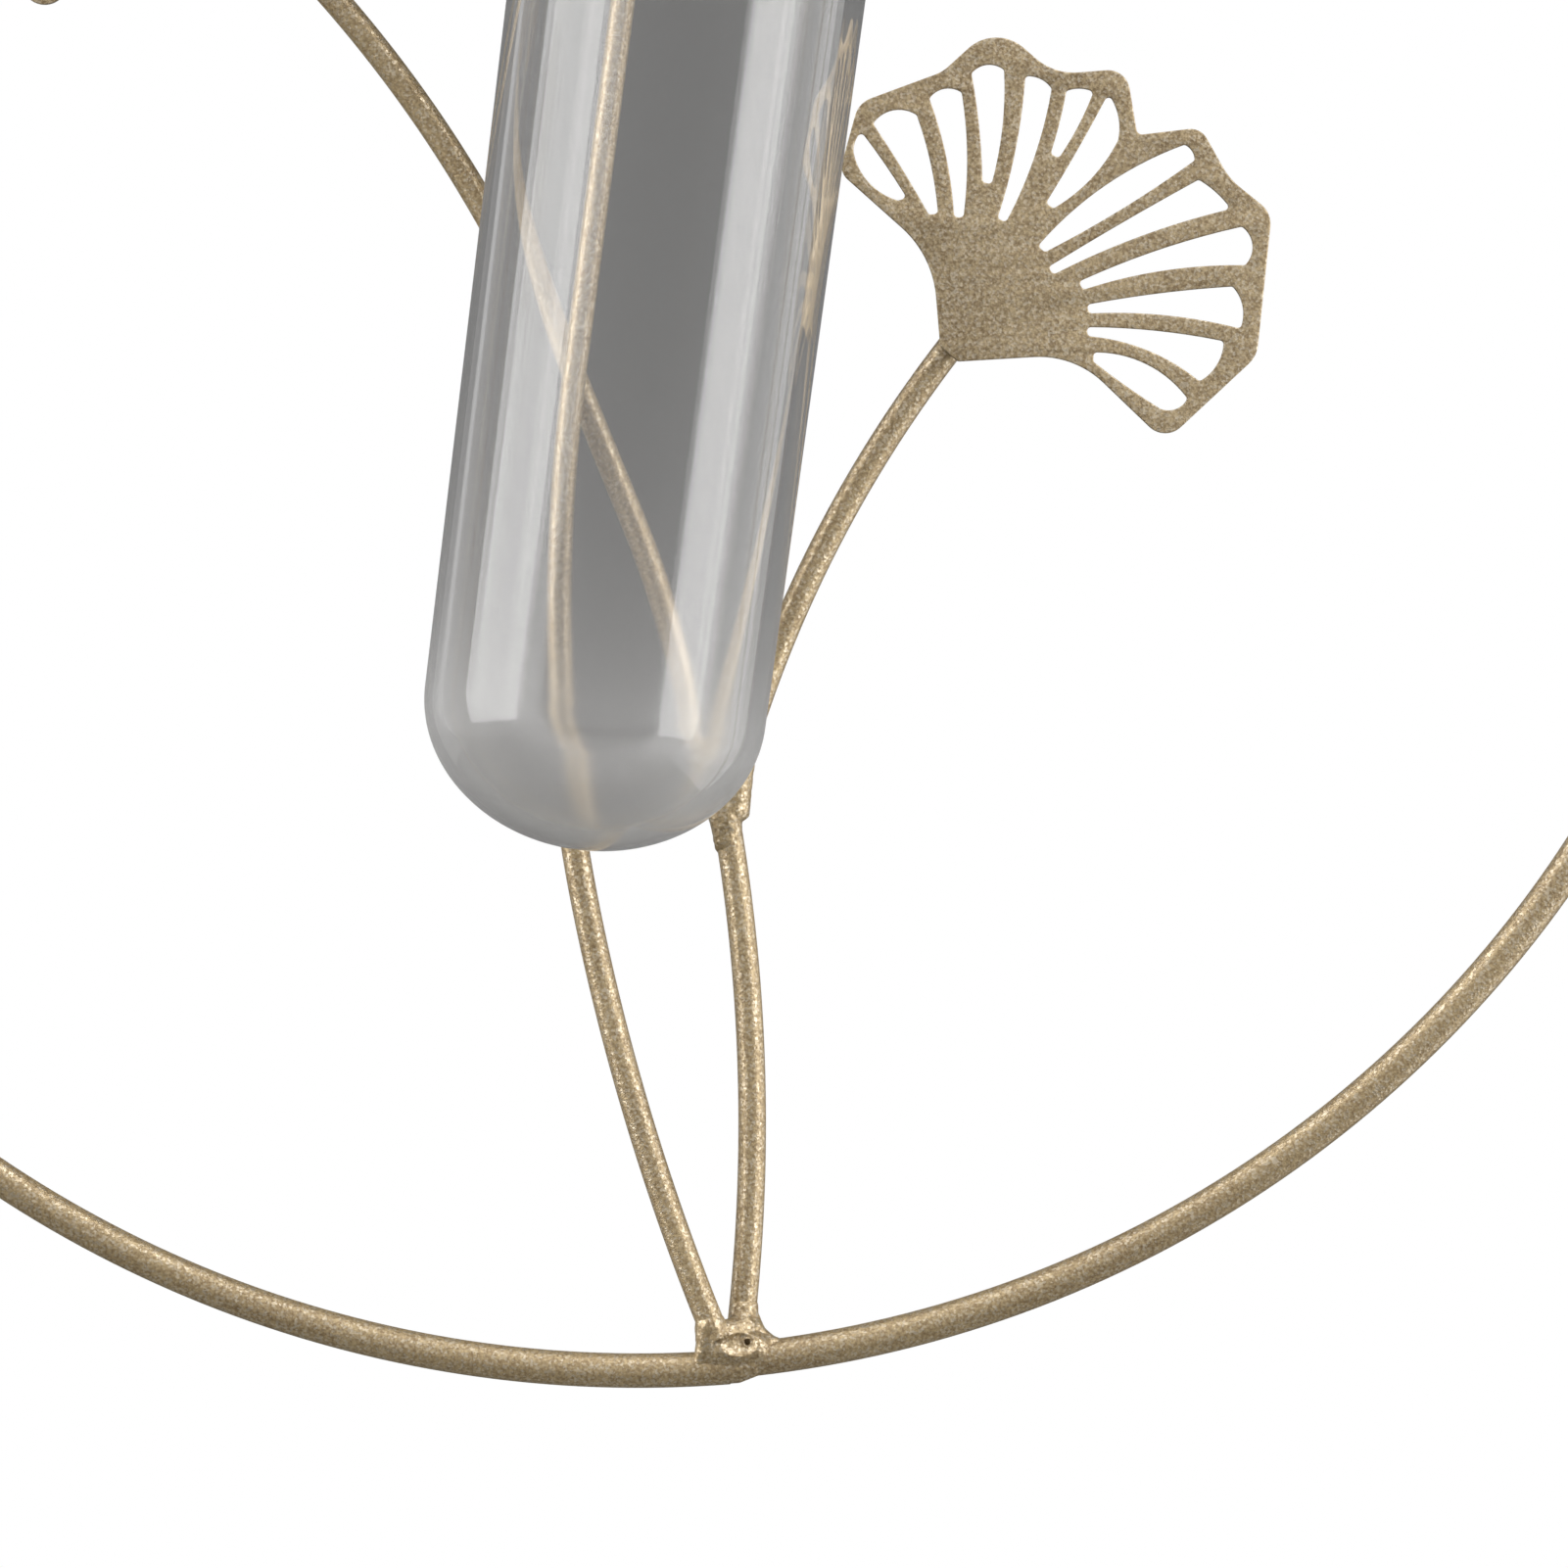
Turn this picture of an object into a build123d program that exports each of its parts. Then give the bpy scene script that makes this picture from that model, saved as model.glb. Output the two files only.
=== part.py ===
from build123d import *
from math import asin, cos, degrees, radians, sin, sqrt, tan
import os

# Hanging wall vase: a wire hoop that frames two pierced ginkgo leaves on wire stems, and a clear
# tapered tube that hangs by its rim in a wire loop. Millimetres. The origin is the centre of the
# nail hole on the wall face. +Z is up, +X is to the right as seen from the room, and the wall is
# the plane y = 0, so everything stands in front of it, towards -Y.

# Hoop
ring_outer_diameter = 200.0
ring_wire = 3.0
ring_joint_angle = 5.25  # where the two ends butt, from straight down towards the right
ring_joint_gap = 0.4
ring_joint_step = 0.5  # the left end stands out past the right one
ring_spring_angle = 50.0  # length of hoop that springs out to that step

# Stems. Points are (across, up) from the centre of the hoop, angles are from straight down
stem_wire = 2.4
crossing_gap = 0.1  # between the carrier stem and the leaf stem that passes behind it
carrier_foot_angle = 4.65
carrier_top_angle = 174.6
carrier_knee = (-5.1, -12.0)  # the straight upper run ends and the bow begins
carrier_ease = (-3.4, -59.5)  # the bow opens to a larger radius
leaf_stem_foot_angle = 5.8
branch_point = (8.5, -50.5)
branch_lean = 9.9  # of the left leaf stem at the branch, to the left of upright
branch_rise = 5.2  # from the branch point up to the foot of the right leaf stem
left_stem_elbow = (0.5, -25.0)  # its lower bend ends and a straight run begins
left_stem_run = 20.0
right_stem_bow = 2.1

# Leaves. Both are one blank: the left one is turned over
leaf_sheet = 1.0
leaf_lean = 41.2
right_leaf_base = (27.8, -10.8)
left_leaf_base = (-31.6, 26.3)
stalk_lap = 4.0  # length of stem behind the leaf
right_stalk_lean = 36.0
left_stalk_lean = 44.0
slot_root_width = 0.8
slot_round = 0.35

# Blank outline in the leaf's own frame: (across, along its axis, corner radius), from the stalk
leaf_outline = (
    (-0.9, 0.0, 0.5),
    (-6.6, 5.5, 9.0),
    (-17.4, 5.6, 1.5),
    (-20.1, 11.2, 2.2),
    (-16.4, 18.0, 3.5),
    (-15.7, 24.2, 3.6),
    (-9.0, 24.2, 5.0),
    (-4.6, 28.7, 1.9),
    (-0.1, 25.0, 0.5),
    (3.6, 29.1, 1.6),
    (8.4, 27.4, 6.0),
    (13.1, 27.6, 2.2),
    (20.3, 17.4, 2.6),
    (19.2, 6.6, 2.0),
    (8.3, 7.1, 8.0),
    (1.1, 0.0, 0.5),
)

# Slots between the veins, as (angle from the axis, distance from the stalk) of the root and of the
# two outer corners, then how far the two long sides bow to the right and the outer end bows outward
leaf_slots = (
    ((-57.7, 13.9), (-66.4, 19.2), (-62.6, 20.6), (-0.8, 0.1, 0.2)),
    ((-47.2, 12.1), (-59.3, 20.9), (-48.7, 20.8), (0.1, 0.3, 0.8)),
    ((-36.7, 11.8), (-45.4, 22.1), (-38.2, 22.6), (0.4, 0.4, 0.6)),
    ((-28.3, 15.1), (-36.4, 24.3), (-30.0, 25.0), (0.2, 0.4, 0.6)),
    ((-19.2, 12.4), (-25.6, 24.9), (-19.8, 24.6), (0.4, 0.5, 0.35)),
    ((-12.8, 19.4), (-16.9, 24.9), (-12.1, 25.9), (0.1, 0.2, 0.25)),
    ((-6.6, 15.5), (-9.5, 26.4), (-2.6, 23.6), (0.1, 0.6, 0.45)),
    ((0.7, 12.1), (7.4, 27.3), (10.8, 27.1), (-1.0, 0.3, 0.25)),
    ((10.1, 11.4), (14.1, 26.4), (21.8, 27.5), (-0.1, -0.5, 0.2)),
    ((21.9, 12.9), (25.5, 27.7), (32.3, 26.8), (-0.4, -0.6, 0.8)),
    ((31.3, 12.7), (35.6, 25.3), (44.0, 25.4), (-0.2, -0.5, 0.55)),
    ((40.0, 12.2), (46.3, 23.9), (55.2, 21.9), (-0.3, -0.8, 0.55)),
    ((50.3, 12.6), (59.5, 21.1), (63.5, 19.0), (-1.1, 0.1, 0.5)),
)

# Tube
tube_length = 140.0
tube_base_diameter = 29.3  # outside, where the round bottom begins
tube_draft = 0.54  # moulding taper of each side
tube_wall = 1.5
tube_dome = 12.4  # height of the round bottom
tube_floor = 1.8
core_line = 10.2  # height of the crease where the bore's round end begins
rim_flare = 2.1
rim_thickness = 2.0
tube_tilt = 7.3  # its top leans to the right

# Loop that the tube hangs in
holder_wire = 2.4
holder_clearance = 0.5
holder_joint_gap = 0.4
holder_drop = 13.75  # down the carrier stem from its upper end
holder_offset = 6.0  # the loop's centre lies to the right of the carrier stem
seat_gap = 0.3  # between the loop and the rim that rests on it

# Tab and nail hole
tab_width = 12.0
tab_thickness = 1.5
tab_corner = 1.5
nail_hole = 5.0
nail_hole_rise = 5.5  # above the outside of the hoop

# Fits and welds
touch_gap = 0.05  # between pieces that are laid together for welding
weld_gap = 0.5  # left under the end of each stem
ring_weld_thickness = 4.3
ring_weld_edge = 0.8
ring_weld_reach = 0.6  # past the centre line of the hoop
ring_weld_height = 2.2  # above the inside of the hoop
ring_weld_toe = 2.4  # along the hoop, past each stem
ring_weld_hollow = 0.8
crater_radius = 1.4
crater_depth = 0.7
branch_weld_radius = 1.8
branch_weld_lumps = 3
crown_weld_radius = 2.2
holder_weld_radius = 1.7
holder_weld_drop = 0.4  # below the loop's wire, clear of the rim
leaf_weld_radius = 1.9
leaf_weld_lap = 3.3  # from the leaf's base
tab_weld_radius = 1.4

# Planes of the hoop and of the wires, and sizes that follow from those above
ring_radius = (ring_outer_diameter - ring_wire) / 2
ring_inner_radius = ring_radius - ring_wire / 2
ring_depth = tab_thickness + touch_gap + ring_wire / 2
ring_centre_height = -(ring_outer_diameter / 2 + nail_hole_rise)
ring_plane = Plane(origin=(0, -ring_depth, ring_centre_height), x_dir=(1, 0, 0), z_dir=(0, -1, 0))
back_stem_plane = ring_plane.offset(-stem_wire / 2)
carrier_plane = back_stem_plane.offset(stem_wire + crossing_gap)
leaf_back_plane = back_stem_plane.offset(stem_wire / 2 + touch_gap)

tube_axis = Vector(sin(radians(tube_tilt)), 0, cos(radians(tube_tilt)))
tube_taper = tan(radians(tube_draft))
seat_height = tube_length - rim_thickness - seat_gap - holder_wire / 2


def tube_radius(height):
    """Outside radius of the tapered wall at a height above the bottom of the tube."""
    return tube_base_diameter / 2 + (height - tube_dome) * tube_taper


def around_hoop(angle, radius):
    """Point on a circle round the hoop's centre, with the angle from straight down to the right."""
    return (radius * sin(radians(angle)), -radius * cos(radians(angle)))


def stem_end(angle):
    """Centre of a stem's cut end, just inside the hoop."""
    return around_hoop(angle, ring_inner_radius - weld_gap)


def from_leaf_axis(angle, radius, hand):
    """Point on a leaf at an angle from its axis and a distance from its stalk."""
    return (hand * radius * sin(radians(angle)), radius * cos(radians(angle)))


def past_base(base, lean, lap):
    """Point on a stem that runs on behind a leaf from the leaf's base."""
    return (base[0] + lap * sin(radians(lean)), base[1] + lap * cos(radians(lean)))


def side_middle(start, end, bow, hand):
    """Middle of a slot's side, bowed to the right on the way from its start to its end."""
    run = Vector(end) - Vector(start)
    across = Vector(run.Y, -run.X).normalized() * hand
    middle = (Vector(start) + Vector(end)) * 0.5 + across * bow
    return (middle.X, middle.Y)


def finish(builder, name):
    """Labels a finished piece and writes it."""
    builder.part.label = name
    export_step(builder.part, f"parts/{name}.step")


os.makedirs("parts", exist_ok=True)

# Hoop, rolled from one wire. Its left end has sprung out a little, so the ends butt with a step
joint_half_angle = degrees(asin(ring_joint_gap / 2 / ring_radius))
right_end_angle = ring_joint_angle + joint_half_angle
left_end_angle = ring_joint_angle - joint_half_angle
round_angle = 360 - 2 * joint_half_angle - ring_spring_angle
with BuildPart() as main_ring:
    with BuildLine(ring_plane) as hoop_path:
        round_run = CenterArc((0, 0), ring_radius, right_end_angle - 90, round_angle)
        TangentArc(
            around_hoop(left_end_angle - ring_spring_angle, ring_radius),
            around_hoop(left_end_angle, ring_radius + ring_joint_step),
            tangent=round_run % 1,
        )
    with BuildSketch(Plane(origin=hoop_path.line @ 0, z_dir=hoop_path.line % 0)):
        Circle(ring_wire / 2)
    sweep()
finish(main_ring, "main_ring")

# Carrier stem: straight from the top of the hoop to its knee, then a bow that eases to the foot
with BuildPart() as carrier_stem:
    with BuildLine(carrier_plane) as carrier_path:
        upper_run = Line(stem_end(carrier_top_angle), carrier_knee)
        bow = TangentArc(carrier_knee, carrier_ease, tangent=upper_run % 1)
        TangentArc(carrier_ease, stem_end(carrier_foot_angle), tangent=bow % 1)
    with BuildSketch(Plane(origin=carrier_path.line @ 0, z_dir=carrier_path.line % 0)):
        Circle(stem_wire / 2)
    sweep()
finish(carrier_stem, "carrier_stem")

# Left leaf stem: bends away both ways from the branch, runs straight and bends again to its leaf
branch_direction = Vector(-sin(radians(branch_lean)), 0, cos(radians(branch_lean)))
left_stem_tip = past_base(left_leaf_base, -left_stalk_lean, stalk_lap)
with BuildPart() as left_leaf_stem:
    with BuildLine(back_stem_plane) as left_path:
        TangentArc(branch_point, stem_end(leaf_stem_foot_angle), tangent=-branch_direction)
        lower_bend = TangentArc(branch_point, left_stem_elbow, tangent=branch_direction)
        run_end = (
            left_stem_elbow[0] + left_stem_run * (lower_bend % 1).X,
            left_stem_elbow[1] + left_stem_run * (lower_bend % 1).Z,
        )
        Line(left_stem_elbow, run_end)
        TangentArc(run_end, left_stem_tip, tangent=lower_bend % 1)
    with BuildSketch(Plane(origin=left_path.line @ 0, z_dir=left_path.line % 0)):
        Circle(stem_wire / 2)
    sweep()
finish(left_leaf_stem, "left_leaf_stem")

# Right leaf stem, laid beside the left one just above the branch
beside = stem_wire + touch_gap
right_stem_foot = (
    branch_point[0] - branch_rise * sin(radians(branch_lean)) + beside * cos(radians(branch_lean)),
    branch_point[1] + branch_rise * cos(radians(branch_lean)) + beside * sin(radians(branch_lean)),
)
right_stem_tip = past_base(right_leaf_base, right_stalk_lean, stalk_lap)
with BuildPart() as right_leaf_stem:
    with BuildLine(back_stem_plane) as right_path:
        ThreePointArc(
            right_stem_foot,
            side_middle(right_stem_foot, right_stem_tip, -right_stem_bow, 1),
            right_stem_tip,
        )
    with BuildSketch(Plane(origin=right_path.line @ 0, z_dir=right_path.line % 0)):
        Circle(stem_wire / 2)
    sweep()
finish(right_leaf_stem, "right_leaf_stem")

# Leaves and the weld nuggets behind them
for name, base, hand, stem, stalk_lean in (
    ("right_leaf", right_leaf_base, 1, right_leaf_stem, right_stalk_lean),
    ("left_leaf", left_leaf_base, -1, left_leaf_stem, -left_stalk_lean),
):
    lean = radians(leaf_lean * hand)
    leaf_plane = Plane(
        origin=leaf_back_plane.from_local_coords(base),
        x_dir=(cos(lean), 0, -sin(lean)),
        z_dir=(0, -1, 0),
    )
    with BuildPart() as leaf:
        with BuildSketch(leaf_plane):
            with BuildLine():
                FilletPolyline(
                    [(hand * across, along) for across, along, radius in leaf_outline],
                    radius=[radius for across, along, radius in leaf_outline],
                    close=True,
                )
            make_face()
        extrude(amount=leaf_sheet)
        with BuildSketch(leaf_plane):
            for root, left, right, bows in leaf_slots:
                half_root = degrees(slot_root_width / 2 / root[1])
                left_root = from_leaf_axis(root[0] - half_root, root[1], hand)
                right_root = from_leaf_axis(root[0] + half_root, root[1], hand)
                left_corner = from_leaf_axis(*left, hand)
                right_corner = from_leaf_axis(*right, hand)
                with BuildLine():
                    left_middle = side_middle(left_root, left_corner, bows[0], hand)
                    right_middle = side_middle(right_root, right_corner, bows[1], hand)
                    end_middle = side_middle(left_corner, right_corner, -bows[2], hand)
                    ThreePointArc(left_root, left_middle, left_corner)
                    ThreePointArc(left_corner, end_middle, right_corner)
                    ThreePointArc(right_corner, right_middle, right_root)
                    Line(right_root, left_root)
                make_face()
            offset(amount=-slot_round)
            offset(amount=slot_round)
        extrude(amount=leaf_sheet, mode=Mode.SUBTRACT)
    finish(leaf, name)

    leaf_weld_centre = past_base(base, stalk_lean, leaf_weld_lap)
    with BuildPart() as leaf_weld:
        with Locations(back_stem_plane.from_local_coords(leaf_weld_centre)):
            Sphere(leaf_weld_radius)
        add(stem.part, mode=Mode.SUBTRACT)
        add(leaf.part, mode=Mode.SUBTRACT)
    finish(leaf_weld, f"{name}_weld")

# Loop for the tube, rolled from one wire, with its ends butted on the front of the carrier stem
holder_radius = tube_radius(seat_height) + holder_clearance + holder_wire / 2
holder_distance = holder_radius + holder_wire / 2 + touch_gap + stem_wire / 2
holder_reach = sqrt(holder_distance**2 - holder_offset**2)
holder_right = Vector(tube_axis.Z, 0, -tube_axis.X)
holder_back = Vector(0, 1, 0)
stem_touch = upper_run @ 0 + (upper_run % 0) * holder_drop
holder_centre = stem_touch + holder_right * holder_offset - holder_back * holder_reach
to_stem = (stem_touch - holder_centre).normalized()
holder_half_angle = degrees(asin(holder_joint_gap / 2 / holder_radius))
loop_start = to_stem.rotate(Axis((0, 0, 0), tube_axis), holder_half_angle)
with BuildPart() as tube_holder:
    with BuildSketch(Plane(holder_centre, x_dir=loop_start, z_dir=loop_start.cross(tube_axis))):
        with Locations((holder_radius, 0)):
            Circle(holder_wire / 2)
    revolve(axis=Axis(holder_centre, tube_axis), revolution_arc=360 - 2 * holder_half_angle)
finish(tube_holder, "tube_holder")

with BuildPart() as holder_weld:
    with Locations(stem_touch - to_stem * (stem_wire / 2) - tube_axis * holder_weld_drop):
        Sphere(holder_weld_radius)
    add(carrier_stem.part, mode=Mode.SUBTRACT)
    add(tube_holder.part, mode=Mode.SUBTRACT)
finish(holder_weld, "holder_weld")

# Tube: a tapered wall with a flattened round bottom, a creased bore and a beaded rim
tube_bottom = holder_centre - tube_axis * seat_height
tube_section = Plane(tube_bottom, x_dir=(0, 1, 0), z_dir=(tube_axis.Z, 0, -tube_axis.X))
rim_underside = tube_length - rim_thickness
neck_radius = tube_radius(rim_underside)
mouth_radius = neck_radius - tube_wall
rim_radius = neck_radius + rim_flare
bore_radius = tube_radius(core_line) - tube_wall
bead_centre = ((rim_radius + mouth_radius) / 2, rim_underside)
bead_half_width = (rim_radius - mouth_radius) / 2
with BuildPart() as water_tube:
    with BuildSketch(tube_section):
        with BuildLine():
            EllipticalCenterArc((0, tube_dome), tube_base_diameter / 2, tube_dome, 270, arc_size=90)
            Polyline(
                (tube_base_diameter / 2, tube_dome),
                (neck_radius, rim_underside),
                (rim_radius, rim_underside),
            )
            EllipticalCenterArc(bead_centre, bead_half_width, rim_thickness, 0, arc_size=180)
            Line((mouth_radius, rim_underside), (bore_radius, core_line))
            TangentArc((0, tube_floor), (bore_radius, core_line), tangent=Vector(1, 0, 0))
            Line((0, tube_floor), (0, 0))
        make_face()
    revolve(axis=Axis(tube_bottom, tube_axis))
finish(water_tube, "water_tube")

# Tab behind the top of the hoop, with the nail hole at the origin
tab_bottom = nail_hole_rise + ring_wire
with BuildPart() as hanging_tab:
    with BuildSketch(Plane.XZ):
        with BuildLine():
            FilletPolyline(
                (-tab_width / 2, 0),
                (-tab_width / 2, -tab_bottom),
                (tab_width / 2, -tab_bottom),
                (tab_width / 2, 0),
                radius=tab_corner,
            )
            ThreePointArc((tab_width / 2, 0), (0, tab_width / 2), (-tab_width / 2, 0))
        make_face()
        Circle(nail_hole / 2, mode=Mode.SUBTRACT)
    extrude(amount=tab_thickness)
finish(hanging_tab, "hanging_tab")

# A bead at each side of the tab
bead_angle = degrees(asin(tab_width / 2 / ring_radius))
with BuildPart() as tab_weld:
    for side in (-1, 1):
        bead_across, bead_up = around_hoop(180 - side * bead_angle, ring_radius)
        with Locations((bead_across, -tab_thickness, ring_centre_height + bead_up)):
            Sphere(tab_weld_radius)
    add(main_ring.part, mode=Mode.SUBTRACT)
    add(hanging_tab.part, mode=Mode.SUBTRACT)
finish(tab_weld, "tab_weld")

# Weld at the foot of the two long stems, over the butted ends of the hoop, with a crater in front
foot_toe = degrees(ring_weld_toe / ring_radius)
left_toe = around_hoop(carrier_foot_angle - foot_toe / 2, ring_radius + ring_weld_reach)
right_toe = around_hoop(leaf_stem_foot_angle + foot_toe, ring_radius + ring_weld_reach)
weld_top = ring_inner_radius - ring_weld_height
half_wire_angle = degrees(stem_wire / 2 / ring_radius)
left_top = around_hoop(carrier_foot_angle - half_wire_angle, weld_top)
right_top = around_hoop(leaf_stem_foot_angle + half_wire_angle, weld_top)
crater_front = ring_plane.offset(ring_weld_thickness / 2 + crater_radius - crater_depth)
with BuildPart() as ring_weld:
    with BuildSketch(ring_plane):
        with BuildLine():
            Line(left_toe, left_top)
            Line(left_top, right_top)
            ThreePointArc(
                right_top, side_middle(right_top, right_toe, ring_weld_hollow, 1), right_toe
            )
            Line(right_toe, left_toe)
        make_face()
    extrude(amount=ring_weld_thickness / 2, both=True)
    fillet(ring_weld.edges().filter_by(Axis.Y, reverse=True), ring_weld_edge)
    with Locations(crater_front.from_local_coords(stem_end(ring_joint_angle))):
        Sphere(crater_radius, mode=Mode.SUBTRACT)
    for wire in (main_ring, carrier_stem, left_leaf_stem):
        add(wire.part, mode=Mode.SUBTRACT)
finish(ring_weld, "ring_weld")

# Weld at the top of the carrier stem
crown_depth_plane = ring_plane.offset((stem_wire / 2 + crossing_gap) / 2)
with BuildPart() as crown_weld:
    with Locations(crown_depth_plane.from_local_coords(stem_end(carrier_top_angle))):
        Sphere(crown_weld_radius)
    add(main_ring.part, mode=Mode.SUBTRACT)
    add(carrier_stem.part, mode=Mode.SUBTRACT)
finish(crown_weld, "crown_weld")

# Weld at the foot of the right leaf stem: a run of lumps up the left leaf stem
with BuildPart() as branch_weld:
    for step in range(branch_weld_lumps):
        share = step / (branch_weld_lumps - 1)
        lump = Vector(branch_point) * (1 - share) + Vector(right_stem_foot) * share
        with Locations(back_stem_plane.from_local_coords((lump.X, lump.Y))):
            Sphere(branch_weld_radius)
    add(left_leaf_stem.part, mode=Mode.SUBTRACT)
    add(right_leaf_stem.part, mode=Mode.SUBTRACT)
finish(branch_weld, "branch_weld")
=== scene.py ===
"""Dresses a hanging wall vase: a wire hoop, stems, pierced leaves, weld beads and a clear tube."""

import logging
import math
from collections.abc import Callable, Sequence
from dataclasses import astuple, dataclass, field
from enum import Enum

import bmesh
import bpy
from mathutils import Matrix, Vector, noise


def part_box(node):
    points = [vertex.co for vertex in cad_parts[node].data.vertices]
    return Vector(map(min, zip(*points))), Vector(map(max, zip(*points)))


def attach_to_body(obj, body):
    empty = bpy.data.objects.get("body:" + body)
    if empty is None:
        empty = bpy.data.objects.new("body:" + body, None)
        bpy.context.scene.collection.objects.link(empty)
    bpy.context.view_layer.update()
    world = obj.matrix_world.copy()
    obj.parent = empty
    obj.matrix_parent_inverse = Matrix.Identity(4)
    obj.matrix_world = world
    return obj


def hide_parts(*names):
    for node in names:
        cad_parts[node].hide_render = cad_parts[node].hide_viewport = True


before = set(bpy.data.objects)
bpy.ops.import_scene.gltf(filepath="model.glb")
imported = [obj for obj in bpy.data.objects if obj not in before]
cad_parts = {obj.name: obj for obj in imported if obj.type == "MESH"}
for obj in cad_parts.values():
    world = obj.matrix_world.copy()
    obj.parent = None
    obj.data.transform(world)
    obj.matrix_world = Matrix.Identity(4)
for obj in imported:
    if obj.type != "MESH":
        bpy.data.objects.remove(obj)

LOG = logging.getLogger("wall_vase")
MM = 0.001
HOOP_CENTRE_DROP = 105.5  # millimetres from the nail hole down to the hoop's centre

Colour = tuple[float, float, float]
Point2 = tuple[float, float]
Point3 = tuple[float, float, float]
Span = tuple[float, float]


class Body(Enum):
    """The two bodies that a piece can ride on."""

    FRAME = "frame"
    TUBE = "tube"


class Slot(Enum):
    """The record's material slots."""

    GOLD = "gold_paint"
    CLEAR = "clear_plastic"


# Nodes


class Socket:
    """An output of a node that takes part in arithmetic."""

    def __init__(self, graph: "Graph", output: bpy.types.NodeSocket) -> None:
        """Keeps the graph and the output."""
        self.graph = graph
        self.output = output

    def _math(self, operation: str, *values: "Socket | float") -> "Socket":
        """Adds one Math node and returns its value."""
        settings = {"operation": operation}
        return self.graph.node("ShaderNodeMath", settings, dict(enumerate(values)))

    def __add__(self, other: "Socket | float") -> "Socket":
        """This value plus another."""
        return self._math("ADD", self, other)

    def __radd__(self, other: float) -> "Socket":
        """A number plus this value."""
        return self._math("ADD", other, self)

    def __sub__(self, other: "Socket | float") -> "Socket":
        """This value less another."""
        return self._math("SUBTRACT", self, other)

    def __rsub__(self, other: float) -> "Socket":
        """A number less this value."""
        return self._math("SUBTRACT", other, self)

    def __mul__(self, other: "Socket | float") -> "Socket":
        """This value times another."""
        return self._math("MULTIPLY", self, other)

    def __rmul__(self, other: float) -> "Socket":
        """A number times this value."""
        return self._math("MULTIPLY", other, self)

    def between(self, low: float, high: float) -> "Socket":
        """Runs from 0 at low to 1 at high, held at both ends.

        Args:
            low: The value that becomes 0.
            high: The value that becomes 1.

        Returns:
            The stretched value.
        """
        inputs = {"Value": self, "From Min": low, "From Max": high}
        return self.graph.node("ShaderNodeMapRange", {"clamp": True}, inputs)

    def sibling(self, name: str) -> "Socket":
        """Another output of the same node."""
        return Socket(self.graph, self.output.node.outputs[name])


class Graph:
    """Adds nodes to one node tree."""

    def __init__(self, tree: bpy.types.NodeTree) -> None:
        """Keeps the tree."""
        self.tree = tree

    def node(
        self,
        kind: str,
        settings: dict[str, object] | None = None,
        inputs: dict[str | int, object] | None = None,
        output: str | int = 0,
    ) -> Socket | None:
        """Adds a node, sets it up and joins its inputs.

        Args:
            kind: The node's type.
            settings: Its own properties, set first.
            inputs: Values or sockets for its inputs, by name or number.
            output: The output that is handed back.

        Returns:
            That output, or None for a node without outputs.
        """
        made = self.tree.nodes.new(kind)
        for key, value in (settings or {}).items():
            setattr(made, key, value)
        for key, value in (inputs or {}).items():
            if isinstance(value, Socket):
                self.tree.links.new(value.output, made.inputs[key])
            else:
                made.inputs[key].default_value = value
        return Socket(self, made.outputs[output]) if len(made.outputs) else None

    def blend(self, factor: Socket, low: Socket | Colour, high: Socket | Colour) -> Socket:
        """Mixes two colours.

        Args:
            factor: 0 gives the first colour and 1 the second.
            low: The first colour.
            high: The second colour.

        Returns:
            The mixed colour.
        """
        first, second = (c if isinstance(c, Socket) else (*c, 1.0) for c in (low, high))
        inputs = {0: factor, 6: first, 7: second}
        return self.node("ShaderNodeMix", {"data_type": "RGBA"}, inputs, 2)

    def noise(self, coords: Socket, size_mm: float, detail: float, rough: float) -> Socket:
        """Noise with lumps of a given size.

        Args:
            coords: Object coordinates in metres.
            size_mm: Size of a lump.
            detail: Number of finer layers.
            rough: Strength of the finer layers.

        Returns:
            A value around a half.
        """
        inputs = {
            "Vector": coords,
            "Scale": 1.0 / (size_mm * MM),
            "Detail": detail,
            "Roughness": rough,
        }
        return self.node("ShaderNodeTexNoise", {"noise_dimensions": "3D"}, inputs, 0)


def new_material(name: str) -> tuple[bpy.types.Material, Graph]:
    """Makes an empty node material.

    Args:
        name: The finish's name.

    Returns:
        The material and the graph of its nodes.
    """
    material = bpy.data.materials.new(name)
    material.use_nodes = True
    material.node_tree.nodes.clear()
    return material, Graph(material.node_tree)


# Finishes


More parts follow.
